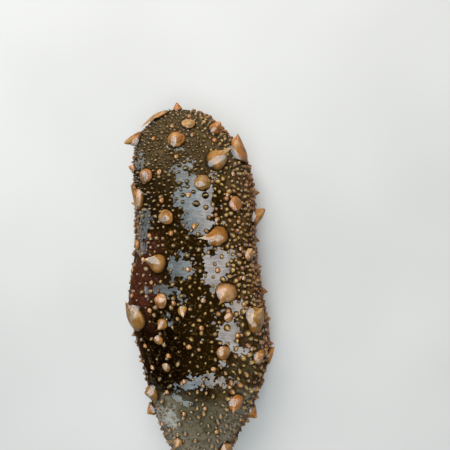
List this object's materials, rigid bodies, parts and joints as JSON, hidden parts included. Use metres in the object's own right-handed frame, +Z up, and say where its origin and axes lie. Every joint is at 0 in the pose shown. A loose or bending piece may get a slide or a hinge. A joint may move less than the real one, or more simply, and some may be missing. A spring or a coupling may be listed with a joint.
{
  "type": "sea cucumber",
  "caption": "Life-size spiky sea cucumber resting on its sole, with conical papillae on the back, tube feet below, a puckered mouth and a vent.",
  "frame": {"origin": "middle of the animal's outline on the floor, at the bottom of its box", "axes": "+Y toward the head end, +Z up through the back, +X to the animal's right as seen from above"},
  "size_m": [0.0807, 0.1998, 0.0571],
  "materials": {
    "skin": "wet, glossy, nearly black olive-brown skin with small gold pimples and amber papillae",
    "lips": "wet, puckered brown skin round the mouth and the vent",
    "sole": "wet ochre-brown skin with darker tube feet"
  },
  "bodies": {
    "root": {"head_end": "skin", "trunk_front": "skin", "trunk_middle": "skin", "trunk_rear": "skin", "tail_end": "skin", "mouth": "lips", "vent": "lips", "sole_front": "sole", "sole_rear": "sole"}
  },
  "joints": []
}
